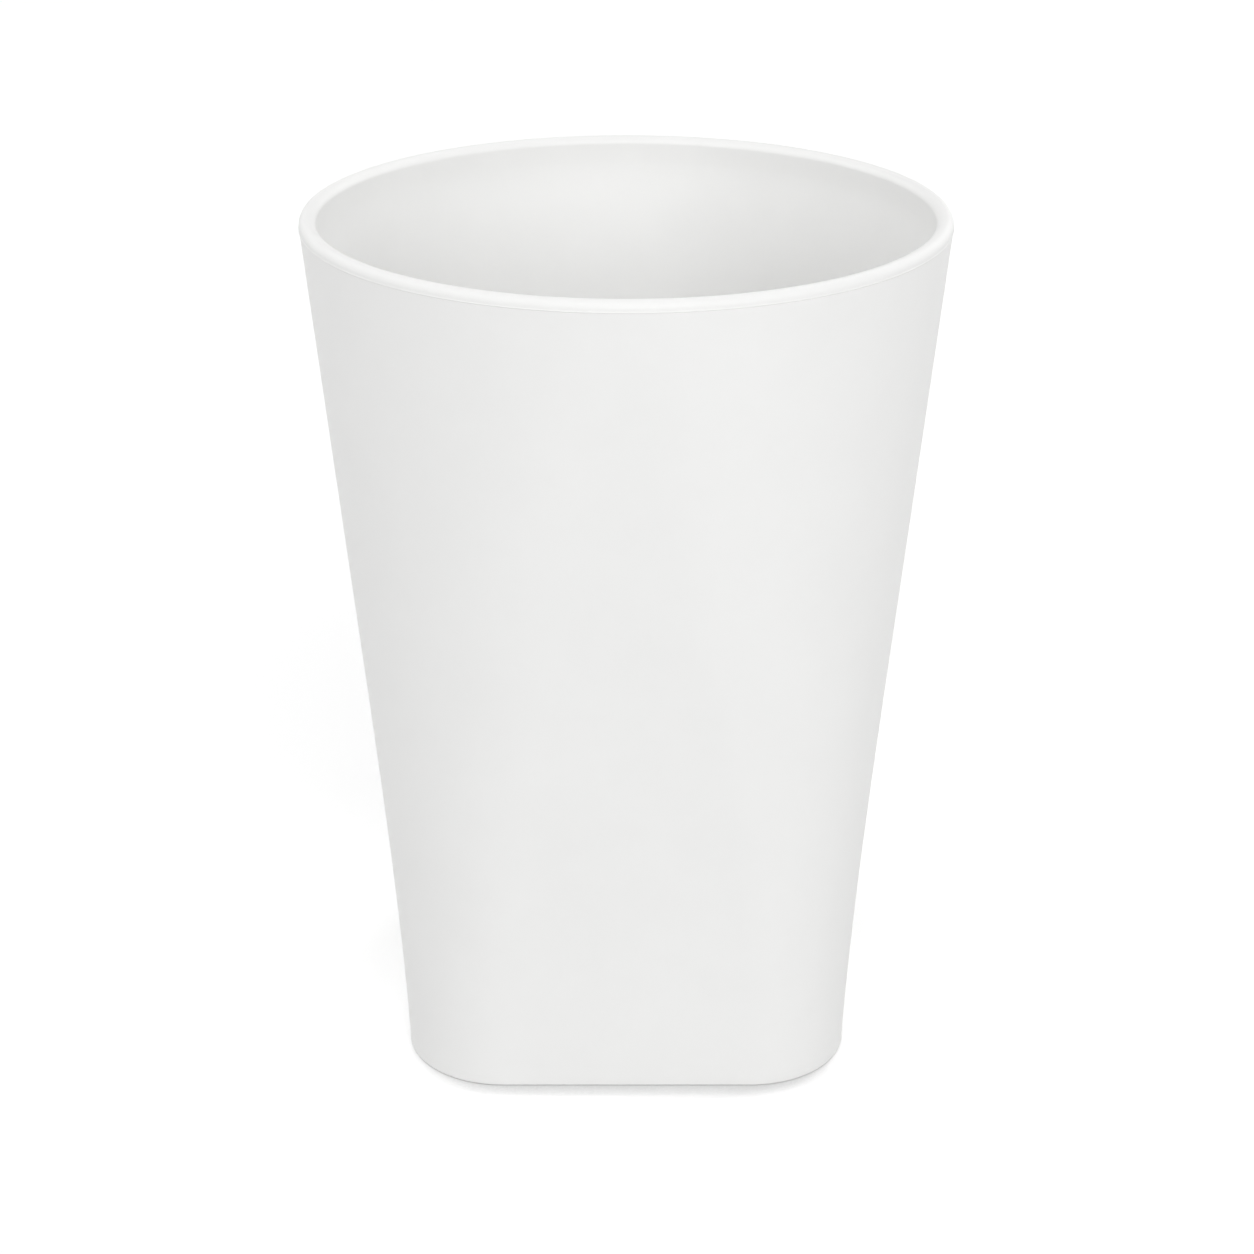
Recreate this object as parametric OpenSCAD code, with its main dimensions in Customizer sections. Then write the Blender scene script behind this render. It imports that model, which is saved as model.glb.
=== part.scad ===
// Rinse cup, moulded in one piece: a round mouth with a rounded lip, on a rounded-square foot.
// The origin is the middle of the underside, level with the ring that the cup stands on.
// +Z runs up the axis of the cup, and the foot's flat sides face along X and Y.

/* [Mouth] */
// Outer diameter across the lip
mouth_d = 80; // [68:0.5:100]
// Height from the table to the crest of the lip
cup_h = 108; // [75:0.5:150]

/* [Foot] */
// Width of the foot across its flat sides
foot_w = 57.2; // [44:0.2:64]
// Radius of the foot's four upright corners
foot_corner_r = 12.7; // [8:0.1:20]
// How far the bottom of each flat side stands out from the straight line of that side
foot_flare = 1.7; // [0:0.1:3]
// Height at which that flare has run out into the straight side
foot_flare_h = 58; // [20:1:66]
// Rounding of the outer bottom edge
foot_edge_r = 0.3; // [0.2:0.1:1.5]
// Width of the flat ring that the cup stands on
foot_ring_w = 3; // [1.5:0.1:6]
// Depth of the hollow inside that ring
foot_hollow_h = 1; // [0.3:0.1:3]
// How far the side of the hollow leans inward on its way up
foot_hollow_lean = 0.8; // [0.2:0.1:2]

/* [Wall] */
// Thickness of the side wall
wall_t = 1.8; // [1:0.1:3]
// Thickness of the floor
floor_t = 2; // [1:0.1:4]
// Rounding between the inside of the wall and the floor
floor_fillet_r = 5; // [1:0.5:9]

/* [Lip] */
// Width of the lip, from its outer face to its inner face
lip_w = 2.1; // [1.6:0.1:3.5]
// Distance of the lip's crest from its outer face
lip_crest_in = 0.85; // [0.5:0.05:1.2]
// Height of the rounded top of the lip
lip_round_h = 1; // [0.4:0.1:1.1]
// Height of the whole lip, from its crest down to the parting seam
lip_h = 1.3; // [1.3:0.05:4]
// How far the lip stands out past the top of the wall
lip_overhang = 0.03; // [0:0.01:0.5]
// How far the fine seam at the parting line stands out from the lip
seam_w = 0.05; // [0.02:0.01:0.2]
// Height of that seam
seam_h = 0.2; // [0.1:0.01:0.3]
// Height below the seam over which the inside of the lip runs into the wall
lip_run_in_h = 2.5; // [0.5:0.1:10]

/* [Facets] */
// Facets round each corner, an even number so that the cup mirrors about its diagonals
corner_steps = 18; // [8:2:24]
// Facets up the outside and up the inside of the wall
wall_steps = 12; // [6:1:16]
// Facets round the fillet on the floor, and round each half of the lip
round_steps = 6; // [3:1:8]

/* [Hidden] */
mouth_r = mouth_d / 2;
// The middle of the seam is the top of the wall, where the section has become a circle
wall_h = cup_h - lip_h;
wall_r = mouth_r - lip_overhang;
floor_z = foot_hollow_h + floor_t;
// The least corner that an inset section keeps, where the inset is more than the corner's radius
least_corner_r = 0.4;
// The wall's straight side line, at the level of the table
side_foot_half = foot_w / 2 - foot_flare;
// Distance from the axis to a corner of the foot, along the diagonal
diagonal = sqrt(2);
foot_reach = (foot_w / 2 - foot_corner_r) * diagonal + foot_corner_r;
// Points on each quarter of a loop: the middle of the flat side, and then the corner's arc
quarter_count = corner_steps + 2;
// Angle between neighbouring points of a full circle
facet_turn = 90 / quarter_count;
edge_steps = 4;
// Which way each corner of the section lies from the axis
corner_dirs = [[1, 1], [-1, 1], [-1, -1], [1, -1]];

// Half the section's width across its flat sides, at height z: a straight line and the foot's flare
function side_half(z) =
    side_foot_half + (wall_r - side_foot_half) * z / wall_h
    + foot_flare * pow(max(0, 1 - z / foot_flare_h), 3);

// Distance from the axis to the section's corners at height z: a straight line
function corner_reach(z) = foot_reach + (wall_r - foot_reach) * z / wall_h;

// Radius of the section's corners that gives both of the distances above
function corner_r(z) =
    min(side_half(z), (diagonal * side_half(z) - corner_reach(z)) / (diagonal - 1));

// A closed loop of points at height z: a square with rounded corners, anticlockwise from above.
// lead is the turn by which each corner's arc stops short of the flat sides beside it.
function loop_points(half, corner, lead, z) = [
    for (quarter = [0:3])
        for (step = [-1:corner_steps])
            let (
                turn = step < 0 ? 90 * quarter
                    : 90 * quarter + lead + (90 - 2 * lead) * step / corner_steps,
                middle = half * [cos(turn), sin(turn)],
                arc = (half - corner) * corner_dirs[quarter] + corner * [cos(turn), sin(turn)]
            )
                concat(step < 0 ? middle : arc, z)
];

// The cup's outer section at height body_z, moved in by inset and drawn at height z
function inset_ring(body_z, inset, z) =
    let (half = side_half(body_z) - inset)
        loop_points(
            half,
            min(half, max(least_corner_r, corner_r(body_z) - inset)),
            facet_turn * body_z / wall_h,
            z
        );

// A circle about the axis, with its points in step with the other loops
function round_ring(radius, z) = loop_points(radius, radius, facet_turn, z);

// The underside, from the roof of the hollow out to the inner edge of the standing ring
function underside() = [
    inset_ring(0, foot_edge_r + foot_ring_w + foot_hollow_lean, foot_hollow_h),
    inset_ring(0, foot_edge_r + foot_ring_w, 0)
];

// The rounded bottom edge, from the standing ring up to the wall
function bottom_edge() = [
    for (step = [0:edge_steps])
        let (turn = 90 * step / edge_steps, z = foot_edge_r * (1 - cos(turn)))
            inset_ring(z, foot_edge_r * (1 - sin(turn)), z)
];

// The outside of the wall, up to the seam
function outer_wall() = [
    for (step = [1:wall_steps])
        let (z = foot_edge_r + (wall_h - seam_h / 2 - foot_edge_r) * step / wall_steps)
            inset_ring(z, 0, z)
];

// The seam's ridge, and the foot of the lip above it
function seam() = [
    round_ring(mouth_r + seam_w, wall_h),
    round_ring(mouth_r, wall_h + seam_h / 2)
];

// The rounded top: two quarter ellipses that meet at the crest
function lip_top() =
    let (
        crest_r = mouth_r - lip_crest_in,
        inner_reach = lip_w - lip_crest_in,
        band_z = cup_h - lip_round_h
    ) [
        for (step = [0:2 * round_steps])
            let (turn = 90 * step / round_steps, reach = turn > 90 ? inner_reach : lip_crest_in)
                round_ring(crest_r + reach * cos(turn), band_z + lip_round_h * sin(turn))
    ];

// The inside of the wall, from under the lip down to the fillet
function inner_wall() =
    let (top_z = wall_h - lip_run_in_h, low_z = floor_z + floor_fillet_r) [
        for (step = [0:wall_steps - 1])
            let (z = top_z + (low_z - top_z) * step / wall_steps)
                inset_ring(z, wall_t, z)
    ];

// The fillet, and with its last loop the edge of the flat floor
function floor_fillet() = [
    for (step = [0:round_steps])
        let (turn = 90 * step / round_steps, z = floor_z + floor_fillet_r * (1 - sin(turn)))
            inset_ring(z, wall_t + floor_fillet_r * (1 - cos(turn)), z)
];

// The two triangles between four points of neighbouring loops. The split leans towards the
// corner of the section on both of its sides, so that the facets mirror as the cup does.
function split_quad(low, high, high_next, low_next, before_corner) =
    before_corner
        ? [[low, high, high_next], [low, high_next, low_next]]
        : [[low, high, low_next], [high, high_next, low_next]];

// A closed skin over loops of equally many points. The first loop and the last are flat, and
// each is closed by a fan of triangles from its middle on the axis.
module skin(rings) {
    count = len(rings[0]);
    last = len(rings) - 1;
    first_middle = count * len(rings);
    last_middle = first_middle + 1;
    polyhedron(
        points = concat(
            [for (ring = rings) each ring],
            [[0, 0, rings[0][0].z], [0, 0, rings[last][0].z]]
        ),
        faces = concat(
            [for (i = [0:count - 1]) [first_middle, i, (i + 1) % count]],
            [
                for (r = [0:last - 1])
                    for (i = [0:count - 1])
                        let (
                            low = r * count,
                            high = low + count,
                            next = (i + 1) % count,
                            before_corner = i % quarter_count < quarter_count / 2
                        )
                            each split_quad(low + i, high + i, high + next, low + next, before_corner)
            ],
            [for (i = [0:count - 1]) [last_middle, last * count + (i + 1) % count, last * count + i]]
        ),
        convexity = 4
    );
}

module cup() {
    color("whitesmoke")
        skin(concat(
            underside(),
            bottom_edge(),
            outer_wall(),
            seam(),
            lip_top(),
            inner_wall(),
            floor_fillet()
        ));
}

cup();
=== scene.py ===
"""The looks of a rinse cup: one tumbler of white polypropylene, moulded in one piece.

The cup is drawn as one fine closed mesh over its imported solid. Its section is a square with
rounded corners at the foot and a circle at the mouth, and a profile in the section's own terms
runs from the middle of the underside, up the outside, over the lip and down to the inside's floor.
"""
import math

import bpy
import numpy as np
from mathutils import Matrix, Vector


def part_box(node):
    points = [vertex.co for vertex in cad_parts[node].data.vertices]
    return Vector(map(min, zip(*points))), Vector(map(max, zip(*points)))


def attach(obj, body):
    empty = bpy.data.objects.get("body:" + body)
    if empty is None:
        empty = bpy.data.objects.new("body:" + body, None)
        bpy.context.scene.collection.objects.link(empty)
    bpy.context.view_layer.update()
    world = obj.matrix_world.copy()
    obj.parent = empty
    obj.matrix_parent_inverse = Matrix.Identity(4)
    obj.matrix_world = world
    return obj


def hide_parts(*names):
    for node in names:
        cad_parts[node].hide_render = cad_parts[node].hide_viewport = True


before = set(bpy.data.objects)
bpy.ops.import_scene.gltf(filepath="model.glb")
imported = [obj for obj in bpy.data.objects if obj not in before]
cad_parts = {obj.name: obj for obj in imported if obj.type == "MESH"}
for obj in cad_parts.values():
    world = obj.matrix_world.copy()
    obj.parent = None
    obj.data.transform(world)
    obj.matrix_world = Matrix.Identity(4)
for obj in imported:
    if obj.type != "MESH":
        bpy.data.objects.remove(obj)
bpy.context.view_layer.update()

MM = 0.001

# The cup's two main sizes come from the frame; the rest repeat the part's own sizes in mm
low_corner, high_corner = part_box("cup")
SEAM_W = 0.05
SEAM_H = 0.2
MOUTH_R = (high_corner.x - low_corner.x) / 2 / MM - SEAM_W
CUP_H = high_corner.z / MM
FOOT_W = 57.2
FOOT_CORNER_R = 12.7
FOOT_FLARE = 1.7
FOOT_FLARE_H = 58.0
FOOT_EDGE_R = 0.3
FOOT_RING_W = 3.0
FOOT_HOLLOW_H = 1.0
FOOT_HOLLOW_LEAN = 0.8
WALL_T = 1.8
FLOOR_T = 2.0
FLOOR_FILLET_R = 5.0
LIP_W = 2.1
LIP_CREST_IN = 0.85
LIP_ROUND_H = 1.0
LIP_H = 1.3
LIP_OVERHANG = 0.03
LIP_RUN_IN_H = 2.5
WALL_H = CUP_H - LIP_H
WALL_R = MOUTH_R - LIP_OVERHANG
FLOOR_Z = FOOT_HOLLOW_H + FLOOR_T

# Points along the half of a quarter that runs from the middle of a flat side to a corner
HALF_QUARTER_STEPS = 40
# How far from a sharp corner under the foot its rounding starts
EDGE_SOFT = 0.3
# Width of the flat row round the roof of the hollow
ROOF_FLAT_W = 2.0
# Distance of the wall's end rows from its edges, which keeps its shading straight up to them
EDGE_GUARD = 0.08
# Rows up the outside and up the inside of the wall
OUTSIDE_ROWS = 84
INSIDE_ROWS = 64


def side_half(z):
    """Half the width across the flat sides: a straight line in z and a cubic flare at the foot."""
    straight = FOOT_W / 2 - FOOT_FLARE
    flare = FOOT_FLARE * np.clip(1 - z / FOOT_FLARE_H, 0, 1) ** 3
    return straight + (WALL_R - straight) * z / WALL_H + flare


def corner_reach(z):
    """Distance from the axis to the corners along the diagonal: a straight line in z."""
    foot_reach = (FOOT_W / 2 - FOOT_CORNER_R) * math.sqrt(2) + FOOT_CORNER_R
    return foot_reach + (WALL_R - foot_reach) * z / WALL_H


def corner_radius(z):
    """The corner radius r for which (half - r) * sqrt(2) + r is the corner's distance."""
    half = side_half(z)
    return np.minimum(half, (math.sqrt(2) * half - corner_reach(z)) / (math.sqrt(2) - 1))


def loops(half, corner, z):
    """One closed loop of points for each row of half width, corner radius and height.

    An eighth of a loop goes a distance s along its outline: straight on (half, s) until s is
    half - corner, and then round the corner's arc by the angle (s - half + corner) / corner.
    The points are spaced evenly in s, and mirrors and quarter turns give the whole loop.
    """
    straight = half - corner
    length = straight + corner * math.pi / 4
    s = length[:, None] * np.linspace(0, 1, HALF_QUARTER_STEPS + 1)
    turn = np.maximum(s - straight[:, None], 0) / np.maximum(corner, 1e-6)[:, None]
    x = straight[:, None] + corner[:, None] * np.cos(turn)
    y = np.minimum(s, straight[:, None]) + corner[:, None] * np.sin(turn)
    quarter = np.stack(
        [np.concatenate([x, y[:, -2:0:-1]], 1), np.concatenate([y, x[:, -2:0:-1]], 1)], -1
    )
    turned = [quarter]
    for _ in range(3):
        last = turned[-1]
        turned.append(np.stack([-last[..., 1], last[..., 0]], -1))
    flat = np.concatenate(turned, 1)
    return np.concatenate([flat, np.broadcast_to(z[:, None, None], flat.shape[:2] + (1,))], -1)


def line(start, end, steps):
    """Rows from start to end along a straight line, without the last."""
    along = np.arange(steps)[:, None] / steps
    return np.asarray(start) * (1 - along) + np.asarray(end) * along


def quarter_arc(centre, reach, start, turn, steps):
    """Rows on an ellipse about centre with half axes reach, from angle start, without the last."""
    angle = np.radians(start + turn * np.arange(steps) / steps)
    return np.stack([centre[0] + reach[0] * np.cos(angle), centre[1] + reach[1] * np.sin(angle)], 1)


def softened(before, corner, after, steps):
    """Rows that round off a corner: a parabola from EDGE_SOFT before it to EDGE_SOFT past it."""
    before, corner, after = np.array(before), np.array(corner), np.array(after)
    start = corner + (before - corner) * EDGE_SOFT / np.linalg.norm(before - corner)
    end = corner + (after - corner) * EDGE_SOFT / np.linalg.norm(after - corner)
    t = np.linspace(0, 1, steps + 1)[:, None]
    return start * (1 - t) ** 2 + 2 * corner * t * (1 - t) + end * t ** 2


def cup_profile():
    """Rows of (distance in from the outer face, height), from the underside to the floor inside.

    At the lip the distance is measured in from the top of the wall, so it is below nought where
    the lip stands out. The last value of each stretch is its count of rows.
    """
    ring_in = FOOT_EDGE_R + FOOT_RING_W
    roof_in = ring_in + FOOT_HOLLOW_LEAN
    outer = -LIP_OVERHANG
    above_foot = (0, FOOT_EDGE_R + EDGE_GUARD)
    below_seam = (0, WALL_H - SEAM_H / 2 - EDGE_GUARD)
    seam_low = (0, WALL_H - SEAM_H / 2)
    seam_crest = (outer - SEAM_W, WALL_H)
    seam_high = (outer, WALL_H + SEAM_H / 2)
    band_z = CUP_H - LIP_ROUND_H
    crest = outer + LIP_CREST_IN
    inner_top = WALL_H - LIP_RUN_IN_H
    fillet_z = FLOOR_Z + FLOOR_FILLET_R
    roof_flat = (roof_in + ROOF_FLAT_W, FOOT_HOLLOW_H)
    roof = (roof_in, FOOT_HOLLOW_H)
    ring = (ring_in, 0)
    return np.concatenate([
        [roof_flat],
        softened(roof_flat, roof, ring, 6),
        softened(roof, ring, (FOOT_EDGE_R, 0), 6),
        quarter_arc((FOOT_EDGE_R, FOOT_EDGE_R), (FOOT_EDGE_R, FOOT_EDGE_R), 270, -90, 10),
        line((0, FOOT_EDGE_R), above_foot, 1),
        line(above_foot, below_seam, OUTSIDE_ROWS),
        line(below_seam, seam_low, 2),
        line(seam_low, seam_crest, 3),
        line(seam_crest, seam_high, 3),
        line(seam_high, (outer, band_z), 4),
        quarter_arc((crest, band_z), (LIP_CREST_IN, LIP_ROUND_H), 180, -90, 18),
        quarter_arc((crest, band_z), (LIP_W - LIP_CREST_IN, LIP_ROUND_H), 90, -90, 20),
        line((outer + LIP_W, band_z), (WALL_T, inner_top), 6),
        line((WALL_T, inner_top), (WALL_T, fillet_z), INSIDE_ROWS),
        quarter_arc((WALL_T + FLOOR_FILLET_R, fillet_z), (FLOOR_FILLET_R,) * 2, 180, 90, 24),
        [(WALL_T + FLOOR_FILLET_R, FLOOR_Z)],
    ])


def closed_skin(name, rings):
    """A mesh of quads between neighbouring loops, closed at each end by a fan about its middle."""
    rows, count = rings.shape[:2]
    ends = np.stack([rings[0].mean(0), rings[-1].mean(0)])
    points = np.concatenate([rings.reshape(-1, 3), ends]) * MM
    here = np.arange(count)
    after = (here + 1) % count
    low = (np.arange(rows - 1) * count)[:, None]
    quads = np.stack([low + here, low + after, low + count + after, low + count + here], -1)
    first_fan = np.stack([np.full(count, rows * count), after, here], -1)
    last_fan = np.stack([np.full(count, rows * count + 1), here, after], -1)
    last_fan[:, 1:] += (rows - 1) * count
    corners = np.concatenate([quads.reshape(-1), first_fan.reshape(-1), last_fan.reshape(-1)])
    sizes = np.concatenate([np.full(quads.size // 4, 4), np.full(2 * count, 3)])
    mesh = bpy.data.meshes.new(name)
    mesh.vertices.add(len(points))
    mesh.vertices.foreach_set("co", points.astype(np.float32).ravel())
    mesh.loops.add(len(corners))
    mesh.loops.foreach_set("vertex_index", corners.astype(np.int32))
    mesh.polygons.add(len(sizes))
    starts = np.concatenate([[0], np.cumsum(sizes)[:-1]])
    mesh.polygons.foreach_set("loop_start", starts.astype(np.int32))
    mesh.polygons.foreach_set("use_smooth", np.ones(len(sizes), bool))
    mesh.update(calc_edges=True)
    mesh.validate()
    piece = bpy.data.objects.new(name, mesh)
    bpy.context.scene.collection.objects.link(piece)
    return piece


def make_cup():
    """The whole cup: every profile row, moved in from the section of the wall at its height."""
    inset, z = cup_profile().T
    body_z = np.minimum(z, WALL_H)
    half = side_half(body_z) - inset
    corner = np.minimum(half, corner_radius(body_z) - inset)
    return closed_skin("tumbler", loops(half, corner, z))


def linear(hex_colour):
    """An sRGB hex colour as linear red, green, blue and alpha."""
    srgb = np.array([int(hex_colour[i:i + 2], 16) for i in (1, 3, 5)]) / 255
    low = srgb / 12.92
    high = ((srgb + 0.055) / 1.055) ** 2.4
    return (*np.where(srgb <= 0.04045, low, high).tolist(), 1.0)


def add_node(tree, kind, inputs=(), **settings):
    """Adds one node with its settings, and sets or links each of its inputs."""
    node = tree.nodes.new(kind)
    for key, value in settings.items():
        setattr(node, key, value)
    for key, value in dict(inputs).items():
        if isinstance(value, bpy.types.NodeSocket):
            tree.links.new(value, node.inputs[key])
        else:
            node.inputs[key].default_value = value
    return node


def new_material(name):
    """An empty node material, with its tree and its Principled shader."""
    material = bpy.data.materials.new(name)
    material.use_nodes = True
    return material, material.node_tree, material.node_tree.nodes["Principled BSDF"]


# The plastic's two shades, its refractive index, and its roughness at their two ends
PLASTIC_DIM = "#f2f2f1"
PLASTIC_BRIGHT = "#f6f6f5"
PLASTIC_IOR = 1.49
SATIN = (0.52, 0.58)
# Pattern sizes of the plastic in mm. The real blasted grain is about 0.08 mm, too fine for the
# render to show, so it is drawn at 0.3 mm.
CLOUD_SIZE = 12.0
GRAIN_SIZE = 0.3
GRAIN_DEPTH = 0.012
GRAIN_STRENGTH = 0.6


def moulded_polypropylene():
    """White polypropylene, injection moulded in a blasted mould.

    The grain that the mould leaves spreads the gloss into a soft satin. Pigment and thickness
    leave very faint clouds.
    """
    material, tree, shader = new_material("moulded_polypropylene")
    place = add_node(tree, "ShaderNodeTexCoord").outputs["Object"]
    clouds = add_node(tree, "ShaderNodeTexNoise", {
        "Vector": place, "Scale": 1 / (CLOUD_SIZE * MM), "Detail": 3.0, "Roughness": 0.6,
    }).outputs["Fac"]
    # Sockets 0, 6 and 7 of a colour mix are its factor and its two colours
    shade = add_node(tree, "ShaderNodeMix", {
        0: clouds, 6: linear(PLASTIC_DIM), 7: linear(PLASTIC_BRIGHT),
    }, data_type="RGBA")
    tree.links.new(shade.outputs[2], shader.inputs["Base Color"])
    finish = add_node(tree, "ShaderNodeMapRange", {
        "Value": clouds, "To Min": SATIN[0], "To Max": SATIN[1],
    })
    tree.links.new(finish.outputs["Result"], shader.inputs["Roughness"])
    grain = add_node(tree, "ShaderNodeTexNoise", {
        "Vector": place, "Scale": 1 / (GRAIN_SIZE * MM), "Detail": 2.0, "Roughness": 0.6,
    }).outputs["Fac"]
    relief = add_node(tree, "ShaderNodeBump", {
        "Height": grain, "Distance": GRAIN_DEPTH * MM, "Strength": GRAIN_STRENGTH,
    })
    tree.links.new(relief.outputs["Normal"], shader.inputs["Normal"])
    shader.inputs["IOR"].default_value = PLASTIC_IOR
    return material


def sees_backdrop(tree):
    """One for the rays that are to show the background itself, and nought for all other light."""
    ray = add_node(tree, "ShaderNodeLightPath").outputs
    seen = add_node(tree, "ShaderNodeMath", {
        0: ray["Is Camera Ray"], 1: ray["Is Glossy Ray"],
    }, operation="ADD")
    return add_node(tree, "ShaderNodeMath", {
        0: seen.outputs["Value"], 1: ray["Is Transmission Ray"],
    }, operation="ADD").outputs["Value"]


# Half the floor's width, the share of the light that it gives back, and the shade that the camera
# sees: a little over one, so that it stays white but for the contact shadow
FLOOR_HALF_W = 6.0
FLOOR_BOUNCE = 0.62
FLOOR_SEEN = 1.19
# The contact shadow in front of the foot is painted into the floor's colour: an ambient-occlusion
# share, tilted towards the back, darkens it, and the lamps' own soft shadow falls on it as well.
# The constants are how far from the foot that share is taken, how far it is tilted from upright in
# degrees, and the painted shade right at the foot. CONTACT_SHUT and CONTACT_OPEN are the open
# shares right in front of the foot and right beside it.
CONTACT_W = 0.0048
CONTACT_TILT = 70.0
CONTACT_SHADE = 0.57
CONTACT_SHUT = 0.36
CONTACT_OPEN = 0.665
CONTACT_SAMPLES = 8


def make_floor():
    """A plain pale floor, far wider than any view of the cup."""
    w = FLOOR_HALF_W
    mesh = bpy.data.meshes.new("floor")
    mesh.from_pydata([(-w, -w, 0), (w, -w, 0), (w, w, 0), (-w, w, 0)], [], [(0, 1, 2, 3)])
    floor = bpy.data.objects.new("floor", mesh)
    bpy.context.scene.collection.objects.link(floor)
    material, tree, shader = new_material("matt_paper")
    tree.nodes.remove(shader)
    # Painted shadow: the floor's colour darkens in front of the foot by how much of a hemisphere,
    # tilted towards the back, the cup closes within CONTACT_W
    tilt = math.radians(CONTACT_TILT)
    tilt_to_back = add_node(tree, "ShaderNodeCombineXYZ", {"Y": math.sin(tilt), "Z": math.cos(tilt)})
    painted_shadow_share = add_node(tree, "ShaderNodeAmbientOcclusion", {
        "Distance": CONTACT_W, "Normal": tilt_to_back.outputs["Vector"],
    }, samples=CONTACT_SAMPLES)
    seen = add_node(tree, "ShaderNodeMapRange", {
        "Value": painted_shadow_share.outputs["AO"], "From Min": CONTACT_SHUT, "From Max": CONTACT_OPEN,
        "To Min": CONTACT_SHADE * FLOOR_SEEN, "To Max": FLOOR_SEEN,
    })
    level = add_node(tree, "ShaderNodeMapRange", {
        "Value": sees_backdrop(tree), "To Min": FLOOR_BOUNCE, "To Max": seen.outputs["Result"],
    })
    paper = add_node(tree, "ShaderNodeBsdfDiffuse", {"Color": level.outputs["Result"]})
    tree.links.new(paper.outputs["BSDF"], tree.nodes["Material Output"].inputs["Surface"])
    mesh.materials.append(material)


def make_world(strength):
    """An even white surround, which shows as a background at a strength of one."""
    world = bpy.data.worlds.new("soft_surround")
    world.use_nodes = True
    tree = world.node_tree
    level = add_node(tree, "ShaderNodeMapRange", {
        "Value": sees_backdrop(tree), "To Min": strength, "To Max": 1.0,
    })
    surround = tree.nodes["Background"].inputs
    surround["Color"].default_value = (1, 1, 1, 1)
    tree.links.new(level.outputs["Result"], surround["Strength"])
    bpy.context.scene.world = world


# The softboxes: name, azimuth from the camera's side towards +X, elevation, and strength
# (radiance); each is a square of SOFTBOX_W at SOFTBOX_FAR from the middle of the cup
SOFTBOX_W = 1.2
SOFTBOX_FAR = 1.5
SOFTBOXES = [
    ("front", 0, 30, 2.54),
    ("right", 45, 30, 1.45),
    ("right_back", 135, 30, 1.91),
    ("left_back", -135, 30, 0.96),
    ("left", -90, 30, 1.15),
    ("left_high", -90, 60, 0.53),
]
WORLD_STRENGTH = 0.19


def make_softbox(name, azimuth, elevation, radiance):
    """A square area lamp that faces the cup; its power is radiance times pi times its area."""
    light = bpy.data.lights.new(name, "AREA")
    light.size = SOFTBOX_W
    light.energy = radiance * math.pi * SOFTBOX_W ** 2
    lamp = bpy.data.objects.new(name, light)
    a, e = math.radians(azimuth), math.radians(elevation)
    out = np.array([math.sin(a) * math.cos(e), -math.cos(a) * math.cos(e), math.sin(e)])
    middle = np.array([0, 0, CUP_H * MM / 2])
    lamp.location = middle + out * SOFTBOX_FAR
    lamp.rotation_euler = (math.pi / 2 - e, 0, a)
    bpy.context.scene.collection.objects.link(lamp)


# The camera: distance from the cup's axis, height and pitch, fitted to the photograph's outline
CAMERA_BACK = 0.32252
CAMERA_UP = 0.19177
CAMERA_PITCH = 23.425
PHOTO_W = 1254
FOCAL_PIXELS = 2684.7
AXIS_COLUMN = 626.25
SENSOR_W = 36.0


def make_camera():
    data = bpy.data.cameras.new("camera")
    data.sensor_width = SENSOR_W
    data.lens = FOCAL_PIXELS / PHOTO_W * SENSOR_W
    data.shift_x = (PHOTO_W / 2 - AXIS_COLUMN) / PHOTO_W
    data.clip_start = 0.01
    camera = bpy.data.objects.new("camera", data)
    camera.location = (0, -CAMERA_BACK, CAMERA_UP)
    camera.rotation_euler = (math.radians(90 - CAMERA_PITCH), 0, 0)
    bpy.context.scene.collection.objects.link(camera)
    bpy.context.scene.camera = camera


make_camera()
cup = make_cup()
cup.data.materials.append(moulded_polypropylene())
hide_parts("cup")
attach(cup, "root")

make_floor()
make_world(WORLD_STRENGTH)
for softbox in SOFTBOXES:
    make_softbox(*softbox)
bpy.context.scene.view_settings.view_transform = "Standard"
